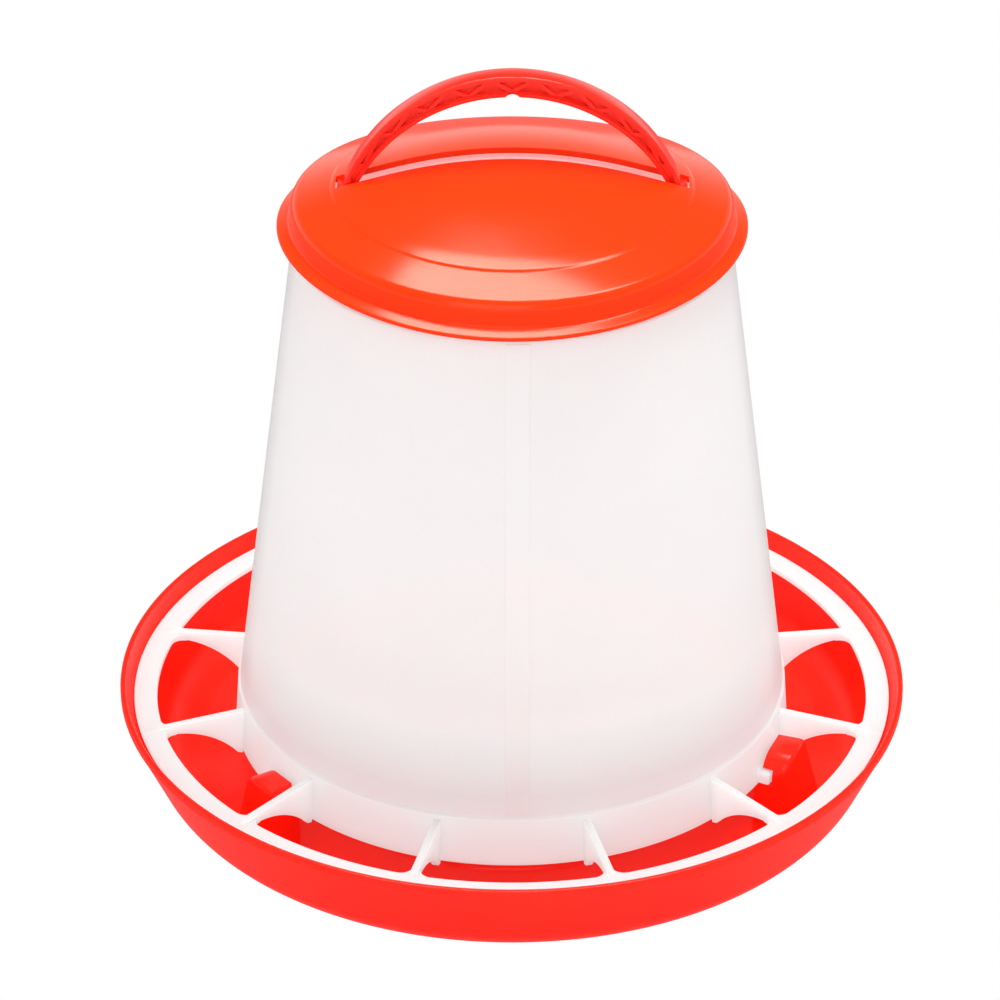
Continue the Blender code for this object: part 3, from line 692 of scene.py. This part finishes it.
def lidSection():
    dome, crease = domeSection()
    corner = (lidWallRadius, bandInnerZ - lidLook["bandFall"] * (lidWallRadius - bandInnerR))
    baseR = lidWallRadius + lidLook["wallFlare"]
    baseZ = lidCentreZ - lidLook["wallHeight"]
    footZ = baseZ + lidLook["flangeRise"]
    edge, low = lidLook["edge"], baseZ - lidLook["flangeDepth"]
    start = [(*crease[-1], 0.0), (*corner, lidLook["shoulder"])]
    outside = start + [(baseR, footZ, lidLook["flangeFillet"])]
    outside += [(lidRadius, baseZ, edge), (lidRadius, low, edge)]
    outside += [(lidRadius - lidLook["flange"] / 2.0, low, 0.0)]
    outside = dome + crease[:-1] + roundedLine(outside)
    # without the close rows, next to which the underside would cross itself
    inside = dome + roundedLine(start + [(baseR, footZ, 0.0), (lidRadius, baseZ, 0.0)])
    under = offsetLine(inside, lidLook["wall"])[:-1]
    under[0] = (0.0, under[0][1])
    return outside + list(reversed(under))


def slotCut(solid):
    half = slotHalfLength()
    outline = [(-half, lidCentreZ), (half, lidCentreZ), (half, crownZ), (-half, crownZ)]
    addBlade(solid, outline, handleLook["width"] + 2.0 * lidLook["sideClearance"])


def buildLid():
    solid = bmesh.new()
    addTurned(solid, lidSection(), lidLook["steps"], closed=False)
    for vert in solid.verts:
        vert.co.z -= lidBow(vert.co.y)
    lid = makePiece("lidCap", solid)
    carve(lid, makePiece("lidSlot", drawn(slotCut)), "DIFFERENCE")
    return lid


# Handle
handleLook = {
    "width": 0.0080,
    "rise": 0.0495,
    "inset": 0.00875,
    "depth": 0.0073,
    "taper": 0.0049,
    "endAngle": 17.2,
    "innerEndAngle": 20.2,
    "archSteps": 72,
    "leg": 0.0032,
    "footRun": 0.0037,
    "footDepth": 0.0041,
    "gusset": 0.0025,
    "stepGap": 0.0006,
    "hook": 0.00135,
    "hookChamfer": 0.0005,
    "flange": 0.0013,
    "channel": 0.0014,
    "channelEndAngle": 24.0,
    "ribDepth": 0.0016,
    "ribWidth": 0.0013,
    "ribCells": 17,
    "ribEndAngle": 27.0,
    "notchRadius": 0.0030,
    "notchDepth": 0.0011,
    "notchSteps": 40,
    "barbHeight": 0.0036,
    "barbFlat": 0.0016,
    "barbRise": 0.0032,
    "barbCount": 2,
    "legPoint": 0.0010,
    "edge": 0.00045,
}

handleRadius = neckInner - handleLook["inset"]
handleInnerRadius = handleRadius - handleLook["depth"] + handleLook["taper"]
crownZ = neckZ + handleLook["rise"]
barbZ = shoulderZ + handleLook["barbRise"]


def archPoint(angle, outer, inset=0.0):
    radius = handleRadius - inset if outer else handleInnerRadius + inset
    centreZ = crownZ - handleRadius if outer else crownZ - handleLook["depth"] - handleInnerRadius
    turn = math.radians(angle)
    return (radius * math.cos(turn), centreZ + radius * math.sin(turn))


def archLine(start, end, outer, inset=0.0):
    steps = handleLook["archSteps"]
    return [archPoint(start + (end - start) * step / steps, outer, inset) for step in range(steps + 1)]


def handleOutline():
    stepZ = bandInnerZ - seatGap
    shoulderTop = lidCentreZ + lidInner - 2.0 * seatGap
    face = neckInner - seatGap
    reach = neckInner + handleLook["hook"]
    chamfer, point = handleLook["hookChamfer"], handleLook["legPoint"]
    barbR = hopperLook["neckRadius"] - seatGap
    barb = handleLook["barbHeight"]
    leg = face - handleLook["leg"]
    knee = archPoint(handleLook["endAngle"], True)[0] + handleLook["footRun"]
    tip = barbZ - barb
    footZ = shoulderTop - handleLook["footDepth"]
    slotEnd = slotHalfLength() - handleLook["stepGap"]
    foot = [
        (slotEnd, stepZ),
        (slotEnd, shoulderTop),
        (reach - chamfer, shoulderTop),
        (reach, shoulderTop - chamfer),
        (reach, neckZ + seatGap),
        (face, neckZ + seatGap),
        (face, barbZ + barb),
        (barbR, barbZ + barb),
        (barbR, barbZ + barb - handleLook["barbFlat"]),
        (face, barbZ),
        (face, tip),
        (face - point, tip - point),
        (leg, tip - point),
        (leg, footZ - handleLook["gusset"]),
        (knee, footZ),
    ]
    stepAngle = math.degrees(math.asin((stepZ - crownZ + handleRadius) / handleRadius))
    right = archLine(90.0, stepAngle, True) + foot + archLine(handleLook["innerEndAngle"], 90.0, False)
    return right + [(-r, z) for r, z in reversed(right)][1:-1]


def pocketOutlines():
    # triangles between the zigzag ribs, each pulled in by half a rib
    step = (180.0 - 2.0 * handleLook["ribEndAngle"]) / (handleLook["ribCells"] + 1)
    inset = handleLook["flange"]
    outlines = []
    for cell in range(handleLook["ribCells"]):
        first = handleLook["ribEndAngle"] + step * cell
        baseOuter = cell % 2 == 0
        corners = [
            Vector(archPoint(first, baseOuter, inset)),
            Vector(archPoint(first + 2.0 * step, baseOuter, inset)),
            Vector(archPoint(first + step, not baseOuter, inset)),
        ]
        sides = [(corners[(i + 2) % 3] - corners[(i + 1) % 3]).length for i in range(3)]
        centre = sum((corners[i] * sides[i] for i in range(3)), Vector((0.0, 0.0))) / sum(sides)
        area = abs((corners[1] - corners[0]).cross(corners[2] - corners[0])) / 2.0
        share = 1.0 - handleLook["ribWidth"] / 2.0 / (2.0 * area / sum(sides))
        outlines.append([tuple(centre + (corner - centre) * share) for corner in corners])
    return outlines


def sideCut(solid, outline, depth):
    for side in (1.0, -1.0):
        addBlade(solid, outline, 2.0 * depth, middle=side * handleLook["width"] / 2.0)


def ribPockets(solid):
    for outline in pocketOutlines():
        sideCut(solid, outline, handleLook["channel"] + handleLook["ribDepth"])


def channelCut(solid):
    # the channel between the flanges, in which the ribs lie
    first, inset = handleLook["channelEndAngle"], handleLook["flange"]
    outline = archLine(first, 180.0 - first, True, inset) + archLine(180.0 - first, first, False, inset)
    sideCut(solid, outline, handleLook["channel"])


def hangNotch(solid):
    centre = (0.0, crownZ - handleLook["depth"] + handleLook["notchDepth"] - handleLook["notchRadius"])
    circle = arcPoints(centre, handleLook["notchRadius"], 0.0, 360.0, handleLook["notchSteps"])[:-1]
    addBlade(solid, circle, handleLook["width"] * 2.0)


def handleArch(solid):
    addBlade(solid, handleOutline(), handleLook["width"])


def buildHandle():
    handle = makePiece("handleArch", drawn(handleArch))
    carve(handle, makePiece("handleNotch", drawn(hangNotch)), "DIFFERENCE")
    softenEdges(handle, handleLook["edge"])
    carve(handle, makePiece("handleChannel", drawn(channelCut)), "DIFFERENCE")
    carve(handle, makePiece("handlePockets", drawn(ribPockets)), "DIFFERENCE")
    return handle


# Materials
def newMaterial(name):
    material = bpy.data.materials.new(name)
    material.use_nodes = True
    nodes = material.node_tree.nodes
    return material, nodes, material.node_tree.links, nodes["Principled BSDF"]


def noiseNode(nodes, links, where, scale, detail):
    noise = nodes.new("ShaderNodeTexNoise")
    noise.inputs["Scale"].default_value = scale
    noise.inputs["Detail"].default_value = detail
    noise.inputs["Roughness"].default_value = 0.5
    links.new(where, noise.inputs["Vector"])
    return noise.outputs["Fac"]


def rangeNode(nodes, links, value, low, high, fromLow=0.3, fromHigh=0.7):
    spread = nodes.new("ShaderNodeMapRange")
    spread.inputs["From Min"].default_value = fromLow
    spread.inputs["From Max"].default_value = fromHigh
    spread.inputs["To Min"].default_value = low
    spread.inputs["To Max"].default_value = high
    links.new(value, spread.inputs["Value"])
    return spread.outputs["Result"]


def blendNode(nodes, links, share, low, high):
    # low and high are numbers or outputs
    blend = nodes.new("ShaderNodeMix")
    links.new(share, blend.inputs["Factor"])
    for name, value in (("A", low), ("B", high)):
        if isinstance(value, float):
            blend.inputs[name].default_value = value
        else:
            links.new(value, blend.inputs[name])
    return blend.outputs["Result"]


def toneNode(nodes, links, share, low, high):
    # low and high are colours or outputs
    tone = nodes.new("ShaderNodeMix")
    tone.data_type = "RGBA"
    links.new(share, tone.inputs["Factor"])
    for name, value in (("A", low), ("B", high)):
        if isinstance(value, tuple):
            tone.inputs[name].default_value = (*value, 1.0)
        else:
            links.new(value, tone.inputs[name])
    return tone.outputs["Result"]


def mathNode(nodes, links, operation, first, second):
    node = nodes.new("ShaderNodeMath")
    node.operation = operation
    links.new(first, node.inputs[0])
    links.new(second, node.inputs[1])
    return node.outputs["Value"]


def splitNode(nodes, links, vector):
    split = nodes.new("ShaderNodeSeparateXYZ")
    links.new(vector, split.inputs["Vector"])
    return split.outputs


def redPlastic(name, look):
    material, nodes, links, shader = newMaterial(name)
    where = nodes.new("ShaderNodeTexCoord").outputs["Object"]
    blotch = noiseNode(nodes, links, where, redGrain["blotch"], redGrain["detail"])
    tone = toneNode(nodes, links, rangeNode(nodes, links, blotch, 0.0, 1.0), look["deep"], look["light"])
    links.new(tone, shader.inputs["Base Color"])
    wear = noiseNode(nodes, links, where, redGrain["wear"], redGrain["detail"])
    gloss = rangeNode(nodes, links, wear, look["gloss"], look["satin"], *redGrain["wearSpan"])
    links.new(gloss, shader.inputs["Roughness"])
    shader.inputs["Specular IOR Level"].default_value = look["shine"]
    shader.inputs["Specular Tint"].default_value = (*look["shineTone"], 1.0)
    # painted glow, seen by the camera only, standing in for light let in by the thin wall
    shader.inputs["Emission Color"].default_value = (*look["throughTone"], 1.0)
    path = nodes.new("ShaderNodeLightPath")
    through = blendNode(nodes, links, path.outputs["Is Camera Ray"], 0.0, look["through"])
    links.new(through, shader.inputs["Emission Strength"])
    return material


def milkyTone(nodes, links, where, normal, look):
    # a cloudy white with painted shade: greyer on level faces, which take most light, and near the
    # outline, where the wall is seen edge on
    cloud = noiseNode(nodes, links, where, look["cloud"], look["cloudDetail"])
    white = toneNode(nodes, links, rangeNode(nodes, links, cloud, 0.0, 1.0), look["deep"], look["light"])
    facing = nodes.new("ShaderNodeLayerWeight")
    facing.inputs["Blend"].default_value = 0.5
    rim = rangeNode(nodes, links, facing.outputs["Facing"], 0.0, look["rim"], *look["rimSpan"])
    level = rangeNode(nodes, links, normal["Z"], 0.0, look["levelShadeShare"], *look["flatSpan"])
    return toneNode(nodes, links, mathNode(nodes, links, "MAXIMUM", rim, level), white, look["rimTone"])


def milkyLight(nodes, links, place, normal, backs, look):
    # painted glow standing in for light let in by the wall: its colour and strength
    flat = nodes.new("ShaderNodeCombineXYZ")
    links.new(place["X"], flat.inputs["X"])
    links.new(place["Y"], flat.inputs["Y"])
    span = nodes.new("ShaderNodeVectorMath")
    span.operation = "LENGTH"
    links.new(flat.outputs["Vector"], span.inputs[0])
    radius = span.outputs["Value"]
    # a stronger painted glow on the upright faces of the skirt and the fins, which take light from both
    # sides
    skirt = (bandRadius - look["skirtFade"], bandRadius + look["skirtFade"])
    guard = rangeNode(nodes, links, radius, look["through"], look["guardPaintedGlow"], *skirt)
    level = rangeNode(nodes, links, normal["Z"], 0.0, 1.0, *look["levelSpan"])
    through = blendNode(nodes, links, level, guard, look["through"])
    # a painted red glow for the red light under the lid, on the inside of the wall
    inward = mathNode(nodes, links, "MULTIPLY", normal["Y"], place["Y"])
    inside = rangeNode(nodes, links, inward, 1.0, 0.0, *look["inwardSpan"])
    high = rangeNode(nodes, links, place["Z"], 0.0, 1.0, *look["paintedRedGlowSpan"])
    front = rangeNode(nodes, links, backs, 1.0, 0.0, 0.0, 1.0)
    paintedRedGlow = blendNode(nodes, links, inside, 0.0, high)
    paintedRedGlow = blendNode(nodes, links, front, 0.0, paintedRedGlow)
    glow = toneNode(nodes, links, paintedRedGlow, look["throughTone"], look["paintedRedGlow"])
    outer = rangeNode(nodes, links, radius, 0.0, 1.0, *skirt)
    paintedGlowColour = toneNode(nodes, links, outer, glow, look["guardPaintedGlowTone"])
    # the camera sees all of it, and the other pieces take a share
    path = nodes.new("ShaderNodeLightPath")
    seen = blendNode(nodes, links, paintedRedGlow, through, 1.0)
    share = rangeNode(nodes, links, path.outputs["Is Camera Ray"], look["bounce"], 1.0, 0.0, 1.0)
    return paintedGlowColour, mathNode(nodes, links, "MULTIPLY", seen, share)


def milkyPlastic(name, look):
    material, nodes, links, shader = newMaterial(name)
    where = nodes.new("ShaderNodeTexCoord").outputs["Object"]
    shape = nodes.new("ShaderNodeNewGeometry")
    place = splitNode(nodes, links, where)
    normal = splitNode(nodes, links, shape.outputs["Normal"])
    tone = milkyTone(nodes, links, where, normal, look)
    glow, strength = milkyLight(nodes, links, place, normal, shape.outputs["Backfacing"], look)
    links.new(tone, shader.inputs["Base Color"])
    links.new(glow, shader.inputs["Emission Color"])
    links.new(strength, shader.inputs["Emission Strength"])
    shader.inputs["Roughness"].default_value = look["roughness"]
    shader.inputs["Specular IOR Level"].default_value = look["shine"]
    shader.inputs["Subsurface Weight"].default_value = look["glow"]
    shader.inputs["Subsurface Radius"].default_value = look["glowReach"]
    shader.inputs["Subsurface Scale"].default_value = 1.0
    shader.inputs["Alpha"].default_value = look["alpha"]
    return material


redGrain = {
    "blotch": 12.0,
    "wear": 45.0,
    "detail": 2.0,
    "wearSpan": (0.2, 0.8),
}
# in each red below, the last two entries set the colour and strength of a painted glow
trayRed = {
    "deep": (0.93, 0.010, 0.003),
    "light": (0.97, 0.015, 0.004),
    "gloss": 0.24,
    "satin": 0.27,
    "shine": 0.32,
    "shineTone": (1.0, 0.95, 0.85),
    "throughTone": (1.0, 0.006, 0.002),
    "through": 0.42,
}
lidRed = {
    "deep": (0.97, 0.040, 0.004),
    "light": (1.0, 0.044, 0.005),
    "gloss": 0.15,
    "satin": 0.17,
    "shine": 0.28,
    "shineTone": (1.0, 0.94, 0.74),
    "throughTone": (1.0, 0.010, 0.002),
    "through": 0.22,
}
handleRed = {
    "deep": (0.95, 0.013, 0.003),
    "light": (0.98, 0.016, 0.004),
    "gloss": 0.22,
    "satin": 0.25,
    "shine": 1.0,
    "shineTone": (1.0, 0.95, 0.80),
    "throughTone": (1.0, 0.006, 0.002),
    "through": 0.15,
}
hopperMilk = {
    "deep": (0.80, 0.79, 0.79),
    "light": (0.83, 0.82, 0.82),
    "cloud": 14.0,
    "cloudDetail": 3.0,
    # painted shade: the grey towards which the outline and the level faces are toned
    "rimTone": (0.42, 0.41, 0.41),
    "rim": 0.8,
    "rimSpan": (0.72, 1.0),
    "levelShadeShare": 0.32,  # level faces take most light and are toned down by this share
    "flatSpan": (0.5, 0.95),
    "roughness": 0.35,
    "shine": 0.3,
    "glow": 0.5,
    "glowReach": (0.012, 0.010, 0.010),
    # a painted glow: its colour and strength, and a stronger one in another tone on the skirt and the
    # guard
    "throughTone": (0.97, 0.96, 0.96),
    "through": 0.20,
    "guardPaintedGlow": 0.42,
    "guardPaintedGlowTone": (0.70, 0.95, 0.95),
    "skirtFade": 0.001,
    "levelSpan": (0.3, 0.9),
    # a painted red glow on the inside of the wall under the lid
    "paintedRedGlow": (0.66, 0.19, 0.18),
    "paintedRedGlowSpan": (0.15, 0.18),  # heights between which it grows
    "inwardSpan": (-0.03, -0.02),
    "bounce": 0.4,
    "alpha": 0.84,
}

studioLook = {
    "floorRadius": 4.0,
    "floorTone": (0.96, 0.96, 0.96),
    "floorMirror": 0.20,  # how bright the floor is in reflections
    "world": 0.74,
    "skyMirror": 0.03,  # and the room, high up
    "mirrorSpan": (0.08, 0.46),
    "lampAim": 0.2,
    "lamps": (
        ("topBox", (0.09, 0.25, 1.48), (1.12, 0.34), 18.0),
        ("frontBox", (-0.3, -1.6, 1.3), (1.2, 1.2), 6.0),
    ),
}

cameraLook = {
    "focalPixels": 4000.0,
    "framePixels": 1000.0,
    "elevation": 29.46,
    "distance": 1.402,
    "aimHeight": 0.1049,
    "aside": -0.00414,
}


def buildStudio():
    scene = bpy.context.scene
    scene.view_settings.view_transform = "Standard"
    world = bpy.data.worlds.new("studio")
    scene.world = world
    world.use_nodes = True
    nodes, links = world.node_tree.nodes, world.node_tree.links
    back = nodes["Background"]
    back.inputs["Color"].default_value = (1.0, 1.0, 1.0, 1.0)
    path = nodes.new("ShaderNodeLightPath")
    # reflections show the white backdrop low down and a dim room above it
    up = splitNode(nodes, links, nodes.new("ShaderNodeTexCoord").outputs["Generated"])["Z"]
    mirror = rangeNode(nodes, links, up, 1.0, studioLook["skyMirror"], *studioLook["mirrorSpan"])
    room = blendNode(nodes, links, path.outputs["Is Glossy Ray"], studioLook["world"], mirror)
    links.new(blendNode(nodes, links, path.outputs["Is Camera Ray"], room, 1.0), back.inputs["Strength"])

    floorMesh = bmesh.new()
    bmesh.ops.create_circle(floorMesh, cap_ends=True, segments=96, radius=studioLook["floorRadius"])
    floor = makePiece("floor", floorMesh)
    material, nodes, links, shader = newMaterial("paleFloor")
    shader.inputs["Base Color"].default_value = (*studioLook["floorTone"], 1.0)
    shader.inputs["Roughness"].default_value = 0.9
    shader.inputs["Specular IOR Level"].default_value = 0.0
    white = nodes.new("ShaderNodeEmission")
    mix = nodes.new("ShaderNodeMixShader")
    path = nodes.new("ShaderNodeLightPath")
    camera, glossy = path.outputs["Is Camera Ray"], path.outputs["Is Glossy Ray"]
    seen = mathNode(nodes, links, "MAXIMUM", camera, glossy)
    glow = blendNode(nodes, links, glossy, 1.0, studioLook["floorMirror"])
    links.new(glow, white.inputs["Strength"])
    links.new(seen, mix.inputs["Fac"])
    links.new(shader.outputs["BSDF"], mix.inputs[1])
    links.new(white.outputs["Emission"], mix.inputs[2])
    links.new(mix.outputs["Shader"], nodes["Material Output"].inputs["Surface"])
    floor.data.materials.append(material)

    for name, place, size, power in studioLook["lamps"]:
        lamp = bpy.data.lights.new(name, "AREA")
        lamp.shape = "RECTANGLE"
        lamp.size, lamp.size_y = size
        lamp.energy = power
        box = bpy.data.objects.new(name, lamp)
        bpy.context.scene.collection.objects.link(box)
        box.location = place
        aim = Vector((0.0, 0.0, studioLook["lampAim"])) - box.location
        box.rotation_euler = aim.to_track_quat("-Z", "Y").to_euler()


def buildCamera():
    view = bpy.data.cameras.new("view")
    view.sensor_width = 36.0
    view.lens = view.sensor_width * cameraLook["focalPixels"] / cameraLook["framePixels"]
    camera = bpy.data.objects.new("view", view)
    bpy.context.scene.collection.objects.link(camera)
    tilt = math.radians(cameraLook["elevation"])
    camera.location = (
        cameraLook["aside"],
        -cameraLook["distance"] * math.cos(tilt),
        cameraLook["aimHeight"] + cameraLook["distance"] * math.sin(tilt),
    )
    camera.rotation_euler = (math.radians(90.0) - tilt, 0.0, 0.0)
    bpy.context.scene.camera = camera


finishLook = {
    "weld": 1e-7,
    "gapSides": 6,
    "sharpAngle": 32.0,
}


def closeGaps(piece):
    # the cuts leave a few tiny gaps of three or four edges
    mesh = bmesh.new()
    mesh.from_mesh(piece.data)
    bmesh.ops.remove_doubles(mesh, verts=mesh.verts, dist=finishLook["weld"])
    openEdges = [edge for edge in mesh.edges if edge.is_boundary]
    bmesh.ops.holes_fill(mesh, edges=openEdges, sides=finishLook["gapSides"])
    mesh.to_mesh(piece.data)
    mesh.free()


def finishPiece(piece, node, material):
    closeGaps(piece)
    piece.data.materials.clear()
    piece.data.materials.append(material)
    piece.data.shade_smooth()
    piece.data.set_sharp_from_angle(angle=math.radians(finishLook["sharpAngle"]))
    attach(piece, "root")
    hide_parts(node)
    print(node, "done:", len(piece.data.polygons), "faces")


finishPiece(buildTray(), "feed_tray", redPlastic("trayRed", trayRed))
finishPiece(buildHopper(), "hopper", milkyPlastic("hopperMilk", hopperMilk))
finishPiece(buildLid(), "lid", redPlastic("lidRed", lidRed))
finishPiece(buildHandle(), "handle", redPlastic("handleRed", handleRed))
buildStudio()
buildCamera()
